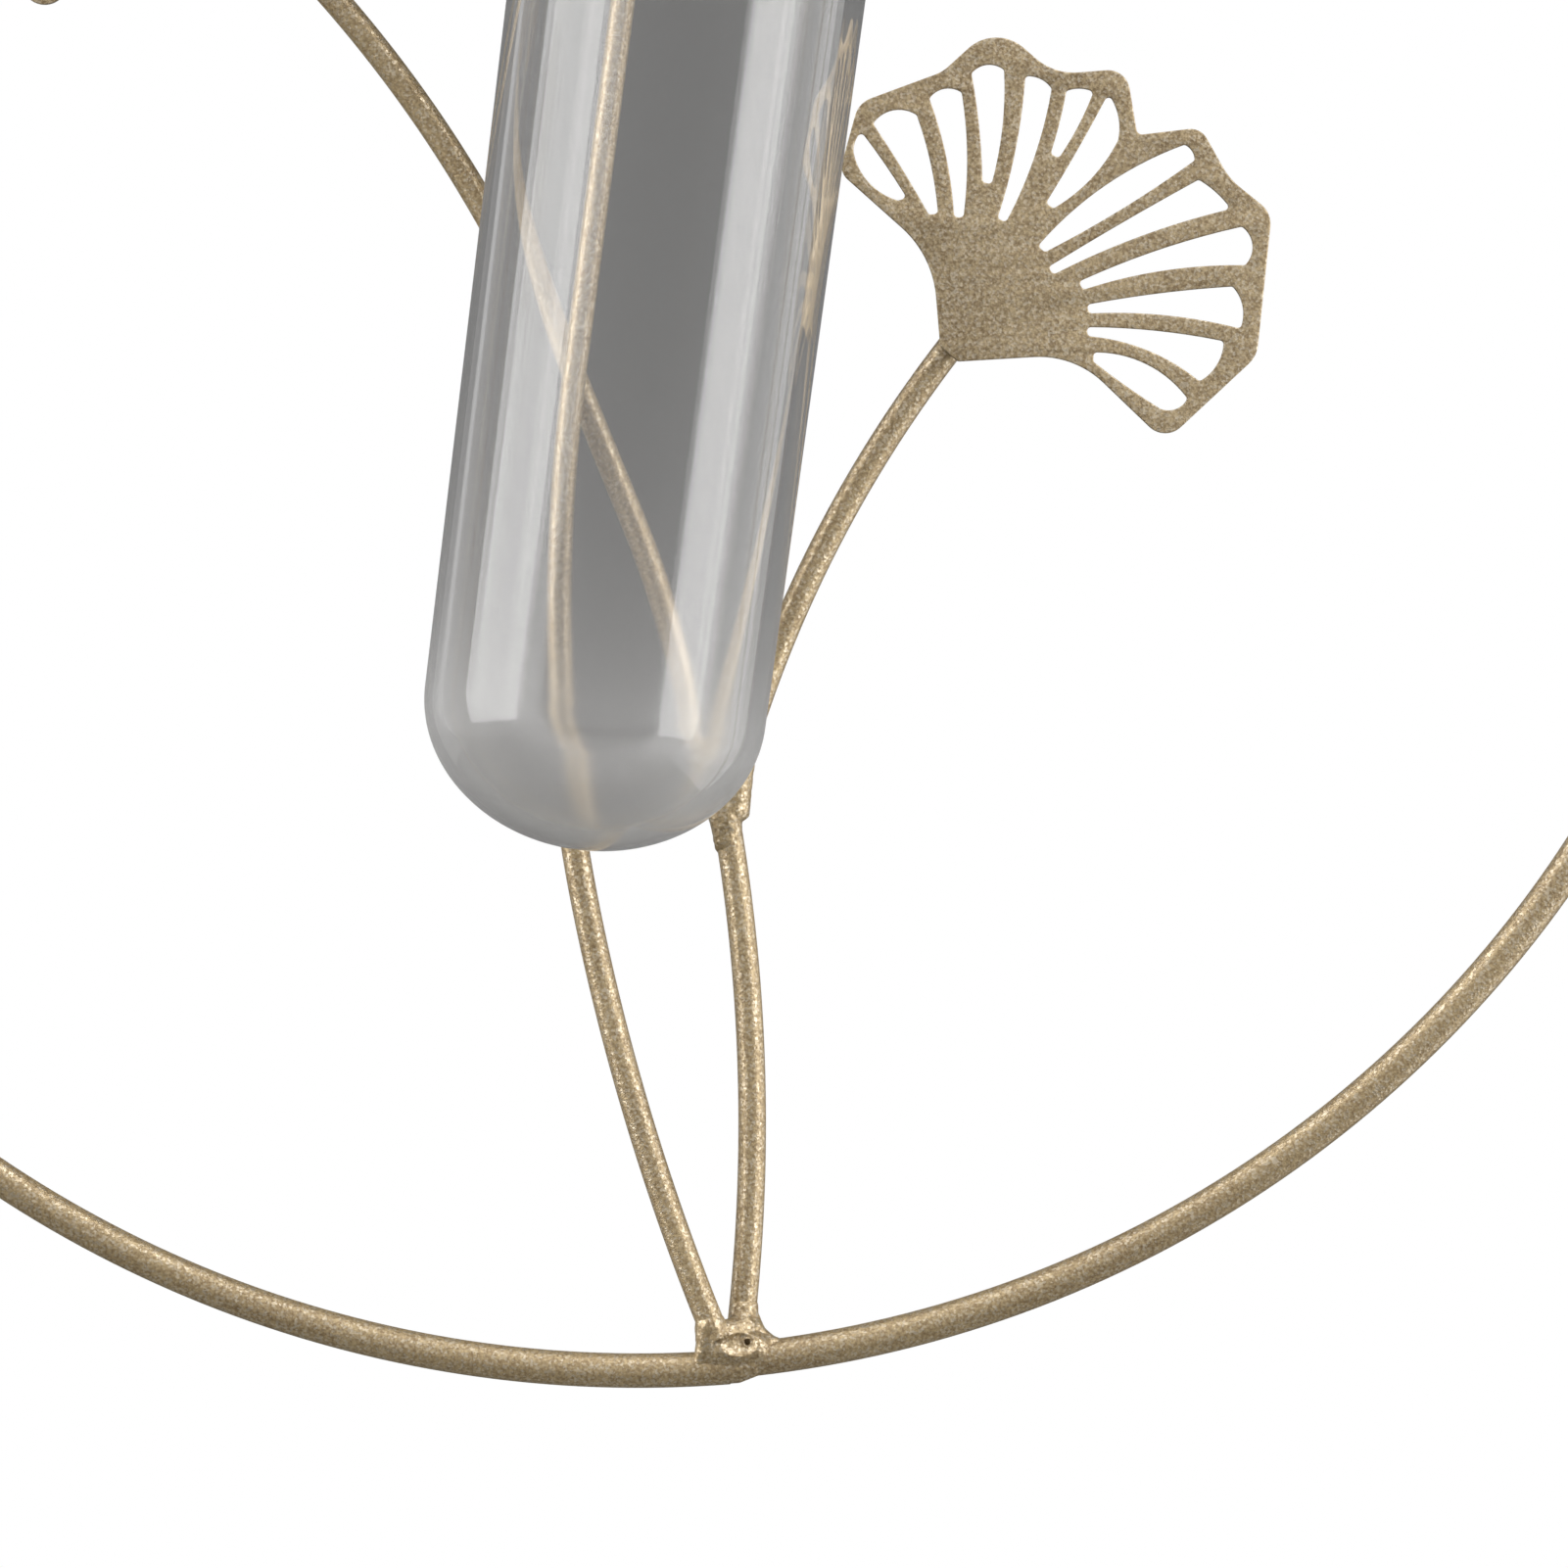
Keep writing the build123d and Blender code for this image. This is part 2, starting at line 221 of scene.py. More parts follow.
@dataclass(frozen=True)
class GoldPaint:
    """Satin champagne gold spray paint with a fine metallic grain, thin on cut steel edges."""

    name: str = "champagne_gold_on_wire"
    # These deep and pale tones are darkened as painted shade for the wires and welds, under the same paint
    # that the sheets get paler in main.
    deep: Colour = (0.205, 0.136, 0.059)
    pale: Colour = (0.47, 0.357, 0.195)
    fleck: Colour = (0.92, 0.85, 0.71)
    cut_steel: Colour = (0.40, 0.37, 0.33)
    grain_mm: float = 0.30
    fleck_mm: float = 0.20
    cloud_mm: float = 7.0
    relief_mm: float = 0.07
    relief_strength: float = 0.55
    grain_relief: float = 0.7
    fleck_relief: float = 0.5
    grain_span: Span = (0.38, 0.64)
    cloud_span: Span = (0.3, 0.7)
    cloud_share: float = 0.20
    fleck_span: Span = (0.55, 1.0)
    fleck_share: float = 0.38
    bare_span: Span = (0.40, 0.56)
    bare_share: float = 0.7
    metal: float = 0.42
    fleck_metal: float = 0.40
    dullness: float = 0.44
    pale_gloss: float = 0.10
    fleck_gloss: float = 0.06
    specular: float = 0.9

    def material(self) -> bpy.types.Material:
        """Makes the paint.

        Returns:
            The material.
        """
        material, graph = new_material(self.name)
        coords = graph.node("ShaderNodeTexCoord", output="Object")
        grain = graph.noise(coords, self.grain_mm, detail=3.0, rough=0.6)
        cloud = graph.noise(coords, self.cloud_mm, detail=2.0, rough=0.5)
        cells = {"Vector": coords, "Scale": 1.0 / (self.fleck_mm * MM)}
        cell = graph.node("ShaderNodeTexVoronoi", {"feature": "F1"}, cells, "Distance")
        chance = graph.node("ShaderNodeSeparateColor", inputs={0: cell.sibling("Color")})
        flecks = chance.between(*self.fleck_span)
        lumps = cloud.between(*self.cloud_span) * self.cloud_share
        tone = grain.between(*self.grain_span) * (1.0 - self.cloud_share) + lumps
        colour = graph.blend(tone, self.deep, self.pale)
        colour = graph.blend(flecks * self.fleck_share, colour, self.fleck)
        wall = graph.node("ShaderNodeAttribute", {"attribute_name": "cut_wall"}, output="Fac")
        bare = wall * grain.between(*self.bare_span) * self.bare_share
        colour = graph.blend(bare, colour, self.cut_steel)
        bump = {
            "Strength": self.relief_strength,
            "Distance": self.relief_mm * MM,
            "Height": grain * self.grain_relief + cell * self.fleck_relief,
        }
        shader = {
            "Base Color": colour,
            "Metallic": flecks * self.fleck_metal + self.metal,
            "Roughness": self.dullness - tone * self.pale_gloss - flecks * self.fleck_gloss,
            "Specular IOR Level": self.specular,
            "Normal": graph.node("ShaderNodeBump", inputs=bump),
        }
        surface = graph.node("ShaderNodeBsdfPrincipled", inputs=shader)
        graph.node("ShaderNodeOutputMaterial", inputs={"Surface": surface})
        return material


@dataclass(frozen=True)
class ClearPlastic:
    """Clear moulded plastic with faint flow waves and a thin hazy skin; the haze is painted palest round
    its base, a painted glow for light that the thick bottom gathers.
    """

    name: str = "clear_moulded_plastic"
    tint: Colour = (0.985, 0.98, 0.975)
    # The haze is grey on the walls and painted near-white round the base: a painted glow for light that the
    # thick bottom gathers.
    wall_haze_grey: Colour = (0.58, 0.572, 0.56)
    base_painted_glow: Colour = (0.97, 0.96, 0.945)
    refraction: float = 1.50
    wall_haze: float = 0.085
    base_haze: float = 0.157
    wall_dullness: float = 0.02
    base_dullness: float = 0.04
    bore_dullness: float = 0.09
    cloud_dullness: float = 0.01
    haze_roughness: float = 0.6
    flow_mm: float = 16.0
    flow_relief_mm: float = 0.04
    flow_strength: float = 0.5
    cloud_mm: float = 5.0
    cloud_span: Span = (0.3, 0.75)
    cloud_share: float = 0.1

    def material(self) -> bpy.types.Material:
        """Makes the plastic.

        Returns:
            The material.
        """
        material, graph = new_material(self.name)
        coords = graph.node("ShaderNodeTexCoord", output="Object")
        flow = graph.noise(coords, self.flow_mm, detail=1.0, rough=0.4)
        cloud = graph.noise(coords, self.cloud_mm, detail=3.0, rough=0.6)
        cloud = cloud.between(*self.cloud_span)
        bump = {
            "Strength": self.flow_strength,
            "Distance": self.flow_relief_mm * MM,
            "Height": flow,
        }
        normal = graph.node("ShaderNodeBump", inputs=bump)
        skin = graph.node("ShaderNodeAttribute", {"attribute_name": "outer_skin"}, output="Fac")
        base = graph.node("ShaderNodeAttribute", {"attribute_name": "near_base"}, output="Fac")
        bore = (1.0 - skin) * base * base * self.bore_dullness
        patches = cloud * self.cloud_dullness
        dullness = base * self.base_dullness + bore + patches + self.wall_dullness
        clear = {
            "Base Color": (*self.tint, 1.0),
            "Roughness": dullness,
            "IOR": self.refraction,
            "Transmission Weight": 1.0,
            "Normal": normal,
        }
        # Haze colour painted paler towards the base: painted glow.
        pale = base * base * (cloud * self.cloud_share + (1.0 - self.cloud_share))
        haze_with_painted_glow = graph.blend(pale, self.wall_haze_grey, self.base_painted_glow)
        dull = {"Base Color": haze_with_painted_glow, "Roughness": self.haze_roughness, "Normal": normal}
        parts = {
            0: skin * (base * self.base_haze + self.wall_haze),
            1: graph.node("ShaderNodeBsdfPrincipled", inputs=clear),
            2: graph.node("ShaderNodeBsdfPrincipled", inputs=dull),
        }
        surface = graph.node("ShaderNodeMixShader", inputs=parts)
        graph.node("ShaderNodeOutputMaterial", inputs={"Surface": surface})
        return material


@dataclass(frozen=True)
class PaleFloor:
    """Plain pale paper floor, lit up where the camera sees it, and white at its edge."""

    name: str = "pale_floor"
    light: Colour = (0.32, 0.32, 0.31)
    dark: Colour = (0.28, 0.28, 0.27)
    glow: float = 0.85
    dullness: float = 0.9
    cloud_mm: float = 120.0
    fade: Span = (1.2, 2.5)

    def material(self) -> bpy.types.Material:
        """Makes the floor's paper.

        Returns:
            The material.
        """
        material, graph = new_material(self.name)
        coords = graph.node("ShaderNodeTexCoord", output="Object")
        cloud = graph.noise(coords, self.cloud_mm, detail=2.0, rough=0.5)
        paper = graph.blend(cloud, self.dark, self.light)
        shader = {"Base Color": paper, "Roughness": self.dullness}
        seen = graph.node("ShaderNodeLightPath", output="Is Camera Ray")
        reach = graph.node("ShaderNodeVectorMath", {"operation": "LENGTH"}, {0: coords}, "Value")
        edge = reach.between(*self.fade)
        parts = {
            0: seen * (edge * (1.0 - self.glow) + self.glow),
            1: graph.node("ShaderNodeBsdfPrincipled", inputs=shader),
            2: graph.node("ShaderNodeEmission"),
        }
        surface = graph.node("ShaderNodeMixShader", inputs=parts)
        graph.node("ShaderNodeOutputMaterial", inputs={"Surface": surface})
        return material


# Mesh helpers


def add_object(name: str, mesh: bpy.types.Mesh) -> bpy.types.Object:
    """Links a new object at the origin.

    Args:
        name: The object's name.
        mesh: Its mesh.

    Returns:
        The object.
    """
    made = bpy.data.objects.new(name, mesh)
    bpy.context.scene.collection.objects.link(made)
    return made


def chain_mesh(name: str, points: Sequence[Vector]) -> bpy.types.Mesh:
    """Makes a mesh of one open chain of edges.

    Args:
        name: The mesh's name.
        points: The chain's points.

    Returns:
        The mesh.
    """
    mesh = bpy.data.meshes.new(name)
    edges = [(i, i + 1) for i in range(len(points) - 1)]
    mesh.from_pydata([tuple(p) for p in points], edges, [])
    return mesh


def settle(obj: bpy.types.Object) -> bpy.types.Object:
    """Turns an object with modifiers into one with a plain mesh.

    Args:
        obj: The object, which keeps its name.

    Returns:
        The same object, without modifiers, or a mesh object in its place if it was a curve.
    """
    graph = bpy.context.evaluated_depsgraph_get()
    mesh = bpy.data.meshes.new_from_object(
        obj.evaluated_get(graph), preserve_all_data_layers=True, depsgraph=graph
    )
    mesh.name = obj.name
    if obj.type == "MESH":
        obj.modifiers.clear()
        obj.data = mesh
        return obj
    name = obj.name
    bpy.data.objects.remove(obj)
    return add_object(name, mesh)


def smooth_but(mesh: bpy.types.Mesh, angle: float) -> None:
    """Shades a mesh smooth, with sharp edges above an angle.

    Args:
        mesh: The mesh.
        angle: Degrees between faces above which an edge stays sharp.
    """
    mesh.shade_smooth()
    mesh.set_sharp_from_angle(angle=math.radians(angle))


def arc_from_tangent(start: Point2, tangent: Point2, end: Point2, steps: int) -> list[Point2]:
    """Points on the circular arc that leaves a point in a direction and reaches another point.

    Args:
        start: First point.
        tangent: Unit direction at the first point.
        end: Last point.
        steps: Number of steps.

    Returns:
        The points, both ends included.
    """
    first, along = Vector(start), Vector(tangent).normalized()
    chord = Vector(end) - first
    across = Vector((-along.y, along.x))
    if chord.dot(across) < 0:
        across = -across
    turn = math.atan2(chord.dot(across), chord.dot(along))
    radius = chord.length / (2 * math.sin(turn))
    points = []
    for step in range(steps + 1):
        angle = 2 * turn * step / steps
        spot = first + along * radius * math.sin(angle) + across * radius * (1 - math.cos(angle))
        points.append((spot.x, spot.y))
    return points


def arc_with_bow(start: Point2, end: Point2, bow: float, steps: int) -> list[Point2]:
    """Points on the arc between two points that bows to the left of the way along.

    Args:
        start: First point.
        end: Last point.
        bow: Height of the bow.
        steps: Number of steps.

    Returns:
        The points, both ends included.
    """
    chord = Vector(end) - Vector(start)
    swing = 2 * math.atan2(2 * bow, chord.length)
    heading = math.atan2(chord.y, chord.x) + swing
    return arc_from_tangent(start, (math.cos(heading), math.sin(heading)), end, steps)


def leaving(start: Point2, tangent: Point2, end: Point2) -> Vector:
    """Direction at the end of the arc that leaves a point in a direction and reaches another.

    Args:
        start: First point.
        tangent: Unit direction at the first point.
        end: Last point.

    Returns:
        The unit direction at the last point.
    """
    chord = (Vector(end) - Vector(start)).normalized()
    return chord * 2 * chord.dot(Vector(tangent)) - Vector(tangent)


# Geometry node trees


def new_tree(
    name: str, inputs: Sequence[tuple[str, str]]
) -> tuple[Graph, Socket, Callable[[str], str]]:
    """Starts a geometry tree.

    Args:
        name: The tree's name.
        inputs: Name and socket type of each input besides the geometry.

    Returns:
        The graph, the geometry that comes in, and a lookup of an input's identifier by name.
    """
    tree = bpy.data.node_groups.new(name, "GeometryNodeTree")
    tree.interface.new_socket("Geometry", in_out="INPUT", socket_type="NodeSocketGeometry")
    for label, kind in inputs:
        tree.interface.new_socket(label, in_out="INPUT", socket_type=kind)
    tree.interface.new_socket("Geometry", in_out="OUTPUT", socket_type="NodeSocketGeometry")
    graph = Graph(tree)
    start = graph.node("NodeGroupInput", output="Geometry")

    def identifier(label: str) -> str:
        """Identifier of a named input."""
        items = tree.interface.items_tree
        return next(i.identifier for i in items if i.name == label and i.in_out == "INPUT")

    return graph, start, identifier


def end_tree(graph: Graph, geometry: Socket, finish: Socket) -> None:
    """Ends a geometry tree with real geometry in its material.

    Args:
        graph: The tree's graph.
        geometry: The finished geometry.
        finish: The material's socket.
    """
    real = graph.node("GeometryNodeRealizeInstances", inputs={"Geometry": geometry})
    dressed = graph.node("GeometryNodeSetMaterial", inputs={"Geometry": real, "Material": finish})
    graph.node("NodeGroupOutput", inputs={"Geometry": dressed})


def smooth_nodes(graph: Graph, mesh: Socket, angle: float) -> Socket:
    """Shades a tree's mesh smooth except at sharp edges.

    Args:
        graph: The tree's graph.
        mesh: The mesh.
        angle: Degrees above which an edge stays sharp.

    Returns:
        The shaded mesh.
    """
    smooth = graph.node(
        "GeometryNodeSetShadeSmooth", {"domain": "FACE"}, {"Geometry": mesh, "Shade Smooth": True}
    )
    bend = graph.node("GeometryNodeInputMeshEdgeAngle", output="Unsigned Angle")
    sharp = graph.node(
        "FunctionNodeCompare", {"operation": "GREATER_THAN"}, {0: bend, 1: math.radians(angle)}
    )
    keep = {"Geometry": smooth, "Selection": sharp, "Shade Smooth": False}
    return graph.node("GeometryNodeSetShadeSmooth", {"domain": "EDGE"}, keep)


class WireTree:
    """A tree that draws a round wire along a chain of points."""

    sides: int = 40
    sharp_angle: float = 50.0

    def __init__(self) -> None:
        """Builds the tree."""
        inputs = (
            ("Wire radius", "NodeSocketFloat"),
            ("Sides", "NodeSocketInt"),
            ("Finish", "NodeSocketMaterial"),
        )
        graph, start, self.identifier = new_tree("round_wire", inputs)
        self.tree = graph.tree
        line = graph.node("GeometryNodeMeshToCurve", inputs={"Mesh": start})
        ring = {"Resolution": start.sibling("Sides"), "Radius": start.sibling("Wire radius")}
        section = graph.node("GeometryNodeCurvePrimitiveCircle", {"mode": "RADIUS"}, ring)
        sweep = {"Curve": line, "Profile Curve": section, "Fill Caps": True}
        wire = graph.node("GeometryNodeCurveToMesh", inputs=sweep)
        end_tree(graph, smooth_nodes(graph, wire, self.sharp_angle), start.sibling("Finish"))

    def make(
        self, name: str, points: Sequence[Vector], wire: float, finish: bpy.types.Material
    ) -> bpy.types.Object:
        """Makes one wire.

        Args:
            name: The piece's name.
            points: The wire's centre line, in metres.
            wire: Wire diameter in millimetres.
            finish: The wire's paint.

        Returns:
            The wire as a plain mesh object.
        """
        obj = add_object(name, chain_mesh(name, points))
        modifier = obj.modifiers.new("wire", "NODES")
        modifier.node_group = self.tree
        modifier[self.identifier("Wire radius")] = wire / 2 * MM
        modifier[self.identifier("Sides")] = self.sides
        modifier[self.identifier("Finish")] = finish
        return settle(obj)


class TurnedTree:
    """A tree that turns a half section about the upright axis."""

    turning_radius: float = 20.0
    pole_gap: float = 0.002
    sharp_angle: float = 16.0

    def __init__(self) -> None:
        """Builds the tree."""
        inputs = (
            ("Turning radius", "NodeSocketFloat"),
            ("Steps round", "NodeSocketInt"),
            ("Finish", "NodeSocketMaterial"),
        )
        graph, start, self.identifier = new_tree("turned_wall", inputs)
        self.tree = graph.tree
        section = graph.node("GeometryNodeMeshToCurve", inputs={"Mesh": start})
        ring = {
            "Resolution": start.sibling("Steps round"),
            "Radius": start.sibling("Turning radius"),
        }
        path = graph.node("GeometryNodeCurvePrimitiveCircle", {"mode": "RADIUS"}, ring)
        sweep = {"Curve": path, "Profile Curve": section, "Fill Caps": False}
        wall = graph.node("GeometryNodeCurveToMesh", inputs=sweep)
        poles = {"Geometry": wall, "Distance": self.pole_gap * MM}
        closed = graph.node("GeometryNodeMergeByDistance", inputs=poles)
        shaded = smooth_nodes(graph, closed, self.sharp_angle)
        end_tree(graph, shaded, start.sibling("Finish"))

    def make(
        self, name: str, section: Sequence[Point2], steps: int, finish: bpy.types.Material
    ) -> bpy.types.Object:
        """Makes one turned piece, upright at the origin.

        Args:
            name: The piece's name.
            section: Half section as (radius, height) in millimetres, from axis to axis.
            steps: Steps round the axis.
            finish: The piece's material.

        Returns:
            The piece as a plain mesh object.
        """
        turning = self.turning_radius
        points = [Vector(((out - turning) * MM, -height * MM, 0.0)) for out, height in section]
        obj = add_object(name, chain_mesh(name, points))
        modifier = obj.modifiers.new("turn", "NODES")
        modifier.node_group = self.tree
        modifier[self.identifier("Turning radius")] = turning * MM
        modifier[self.identifier("Steps round")] = steps
        modifier[self.identifier("Finish")] = finish
        return settle(obj)


# Sub-assemblies


def place(across: float, up: float, depth: float) -> Vector:
    """A point given from the hoop's centre, in the row frame.

    Args:
        across: Millimetres to the right of the hoop's centre.
        up: Millimetres above the hoop's centre.
        depth: Millimetres in front of the wall.

    Returns:
        The point in metres.
    """
    return Vector((across, -depth, up - HOOP_CENTRE_DROP)) * MM


def attach(piece: bpy.types.Object, body: Body, node: str) -> None:
    """Puts a piece on its body in place of a CAD node.

    Args:
        piece: The finished piece.
        body: The body it rides on.
        node: The CAD node that it stands for.
    """
    low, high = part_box(node)
    corners = [Vector(c) for c in piece.bound_box]
    mine = [[f(c[i] for c in corners) for i in range(3)] for f in (min, max)]
    off = max(abs(a - b) for a, b in zip(mine[0] + mine[1], [*low, *high]))
    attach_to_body(piece, body.value)
    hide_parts(node)
    faces = len(piece.data.polygons)
    LOG.info("%s: %d faces, %.2f mm from the box of %s", piece.name, faces, off / MM, node)


@dataclass
class WireFrame:
    """The hoop, the three stems and the loop, all bent from round wire.

    Sizes are in millimetres, and angles in degrees, round the hoop from straight down.
    """

    finish: bpy.types.Material
    hoop_radius: float = 98.5
    hoop_wire: float = 3.0
    hoop_depth: float = 3.05
    joint_angle: float = 5.25
    joint_gap: float = 0.4
    joint_step: float = 0.5
    spring_angle: float = 50.0
    stem_wire: float = 2.4
    stem_end_radius: float = 96.5
    back_depth: float = 1.85
    front_depth: float = 4.35
    carrier_foot_angle: float = 4.65
    carrier_top_angle: float = 174.6
    carrier_knee: Point2 = (-5.1, -12.0)
    carrier_ease: Point2 = (-3.4, -59.5)
    leaf_stem_foot_angle: float = 5.8
    branch: Point2 = (8.5, -50.5)
    branch_lean: float = 9.9
    elbow: Point2 = (0.5, -25.0)
    elbow_run: float = 20.0
    left_tip: Point2 = (-34.38, 29.18)
    right_foot: Point2 = (10.02, -44.96)
    right_tip: Point2 = (30.15, -7.56)
    right_bow: float = 2.1
    loop_centre: Point3 = (13.244, 81.676, 23.397)
    loop_radius: float = 17.52
    loop_tilt: float = 7.3
    loop_stem: Point3 = (7.292, 82.439, 4.35)
    hoop_steps: int = 340
    loop_steps: int = 160
    long_steps: int = 60
    middle_steps: int = 50
    short_steps: int = 40
    tree: WireTree = field(default_factory=WireTree)

    def round_hoop(self, angle: float, radius: float) -> Point2:
        """Point at an angle from straight down, to the right."""
        turn = math.radians(angle)
        return (radius * math.sin(turn), -radius * math.cos(turn))

    def hoop(self) -> list[Vector]:
        """Bends the hoop, from its right end round to its left end, which springs out a little.

        Returns:
            The hoop's centre line.
        """
        gap = math.degrees(self.joint_gap / 2 / self.hoop_radius)
        first, last = self.joint_angle + gap, self.joint_angle + 360 - gap
        spring = last - self.spring_angle
        steps = self.hoop_steps
        angles = [first + (spring - first) * i / steps for i in range(steps + 1)]
        points = [self.round_hoop(a, self.hoop_radius) for a in angles]
        onward = self.round_hoop(spring + 90, 1.0)
        end = self.round_hoop(last, self.hoop_radius + self.joint_step)
        points += arc_from_tangent(points[-1], onward, end, self.long_steps)[1:]
        return [place(*p, self.hoop_depth) for p in points]

    def carrier(self) -> list[Vector]:
        """Bends the carrier stem, from the top of the hoop down to its foot.

        Returns:
            The carrier stem's centre line.
        """
        top = self.round_hoop(self.carrier_top_angle, self.stem_end_radius)
        foot = self.round_hoop(self.carrier_foot_angle, self.stem_end_radius)
        run = (Vector(self.carrier_knee) - Vector(top)).normalized()
        bow = arc_from_tangent(self.carrier_knee, run, self.carrier_ease, self.long_steps)
        onward = leaving(self.carrier_knee, run, self.carrier_ease)
        lower = arc_from_tangent(self.carrier_ease, onward, foot, self.middle_steps)
        return [place(*p, self.front_depth) for p in [top, *bow, *lower[1:]]]

    def left_stem(self) -> list[Vector]:
        """Bends the left leaf stem, from its foot up to the leaf.

        Returns:
            The left leaf stem's centre line.
        """
        lean = math.radians(self.branch_lean)
        up = (-math.sin(lean), math.cos(lean))
        foot = self.round_hoop(self.leaf_stem_foot_angle, self.stem_end_radius)
        lower = arc_from_tangent(self.branch, (-up[0], -up[1]), foot, self.middle_steps)
        bend = arc_from_tangent(self.branch, up, self.elbow, self.short_steps)
        onward = leaving(self.branch, up, self.elbow)
        run_end = Vector(self.elbow) + onward * self.elbow_run
        upper = arc_from_tangent(run_end, onward, self.left_tip, self.long_steps)
        return [place(*p, self.back_depth) for p in lower[::-1] + bend[1:] + upper]

    def right_stem(self) -> list[Vector]:
        """Bends the right leaf stem, from the branch up to the leaf.

        Returns:
            The right leaf stem's centre line.
        """
        ends = (self.right_foot, self.right_tip)
        points = arc_with_bow(*ends, self.right_bow, self.middle_steps)
        return [place(*p, self.back_depth) for p in points]

    def loop(self) -> list[Vector]:
        """Bends the tube's loop, with its ends butted at the carrier stem.

        Returns:
            The loop's centre line.
        """
        tilt = math.radians(self.loop_tilt)
        axis = Vector((math.sin(tilt), 0, math.cos(tilt)))
        centre = place(*self.loop_centre)
        to_stem = place(*self.loop_stem) - centre
        first = (to_stem - axis * to_stem.dot(axis)).normalized()
        side = axis.cross(first)
        gap = self.joint_gap / 2 / self.loop_radius
        steps = self.loop_steps
        turns = [gap + (2 * math.pi - 2 * gap) * i / steps for i in range(steps + 1)]
        reach = self.loop_radius * MM
        return [centre + (first * math.cos(t) + side * math.sin(t)) * reach for t in turns]

    def build(self) -> None:
        """Makes the five wires and puts them on the frame."""
        wires = (
            ("hoop_wire", self.hoop(), self.hoop_wire, "main_ring"),
            ("carrier_wire", self.carrier(), self.stem_wire, "carrier_stem"),
            ("left_leaf_wire", self.left_stem(), self.stem_wire, "left_leaf_stem"),
            ("right_leaf_wire", self.right_stem(), self.stem_wire, "right_leaf_stem"),
            ("loop_wire", self.loop(), self.stem_wire, "tube_holder"),
        )
        for name, points, wire, node in wires:
            piece = self.tree.make(name, points, wire, self.finish)
            attach(piece, Body.FRAME, node)


@dataclass
class SheetPieces:
    """The leaves and the tab, cut from sheet, with their edges eased. Millimetres."""

    finish: bpy.types.Material
    edge: float = 0.10
    edge_steps: int = 2
    join: float = 0.0005
    flatness: float = 0.001
    sharp_angle: float = 35.0
    wall_lean: float = 0.4

    def loops(self, node: str, front: float) -> list[list[Point2]]:
        """Outlines of a CAD sheet's front face.

        Args:
            node: The CAD node.
            front: Its front face's place along Y, in metres.

        Returns:
            One closed loop of (x, z) points for the outline and for each opening.
        """
        shape = bmesh.new()
        shape.from_mesh(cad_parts[node].data)
        bmesh.ops.remove_doubles(shape, verts=shape.verts, dist=self.join * MM)
        near = self.flatness * MM
        inside = {f for f in shape.faces if all(abs(v.co.y - front) < near for v in f.verts)}
        rim = [e for e in shape.edges if sum(f in inside for f in e.link_faces) == 1]
        following: dict[int, list[int]] = {}
        for edge in rim:
            a, b = (v.index for v in edge.verts)
            following.setdefault(a, []).append(b)
            following.setdefault(b, []).append(a)
        shape.verts.ensure_lookup_table()
        found: list[list[Point2]] = []
        unused = set(following)
        while unused:
            start = min(unused)
            chain = [start]
            unused.discard(start)
            while True:
                onward = [i for i in following[chain[-1]] if i in unused]
                if not onward:
                    break
                chain.append(onward[0])
                unused.discard(onward[0])
            found.append([(shape.verts[i].co.x, shape.verts[i].co.z) for i in chain])
        shape.free()
        return found

    def cut(self, name: str, node: str) -> bpy.types.Object:
        """Cuts one sheet piece to its CAD node's outlines and eases its edges.

        Args:
            name: The piece's name.
            node: The CAD node.

        Returns:
            The piece as a plain mesh object.
        """
        low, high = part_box(node)
        curve = bpy.data.curves.new(name, "CURVE")
        curve.dimensions = "2D"
        curve.fill_mode = "BOTH"
        curve.bevel_depth = self.edge * MM
        curve.bevel_resolution = self.edge_steps
        curve.offset = -self.edge * MM
        curve.extrude = (high.y - low.y) / 2 - self.edge * MM
        for loop in self.loops(node, low.y):
            spline = curve.splines.new("POLY")
            spline.points.add(len(loop) - 1)
            for point, (x, z) in zip(spline.points, loop):
                point.co = (x, z, 0.0, 1.0)
            spline.use_cyclic_u = True
        obj = bpy.data.objects.new(name, curve)
        bpy.context.scene.collection.objects.link(obj)
        piece = settle(obj)
        middle = (low.y + high.y) / 2
        stand = Matrix(((1, 0, 0, 0), (0, 0, -1, middle), (0, 1, 0, 0), (0, 0, 0, 1)))
        piece.data.transform(stand)
        self.clean(piece.data)
        return piece

    def clean(self, mesh: bpy.types.Mesh) -> None:
        """Joins a cut sheet's faces, shades it and marks its cut walls.

        Args:
            mesh: The sheet's mesh.
        """
        shape = bmesh.new()
        shape.from_mesh(mesh)
        bmesh.ops.remove_doubles(shape, verts=shape.verts, dist=self.join * MM)
        bmesh.ops.recalc_face_normals(shape, faces=shape.faces)
        shape.to_mesh(mesh)
        shape.free()
        smooth_but(mesh, self.sharp_angle)
        wall = mesh.attributes.new("cut_wall", "FLOAT", "FACE")
        for face, value in zip(mesh.polygons, wall.data):
            value.value = 1.0 if abs(face.normal.y) < self.wall_lean else 0.0
        mesh.materials.clear()
        mesh.materials.append(self.finish)

    def build(self) -> None:
        """Cuts the two leaves and the tab and puts them on the frame."""
        sheets = (
            ("right_ginkgo_leaf", "right_leaf"),
            ("left_ginkgo_leaf", "left_leaf"),
            ("nail_tab", "hanging_tab"),
        )
        for name, node in sheets:
            attach(self.cut(name, node), Body.FRAME, node)


@dataclass(frozen=True)
class Drop:
    """One drop of weld metal: place from the hoop's centre, depth from the wall, and radius."""

    across: float
    up: float
    depth: float
    radius: float


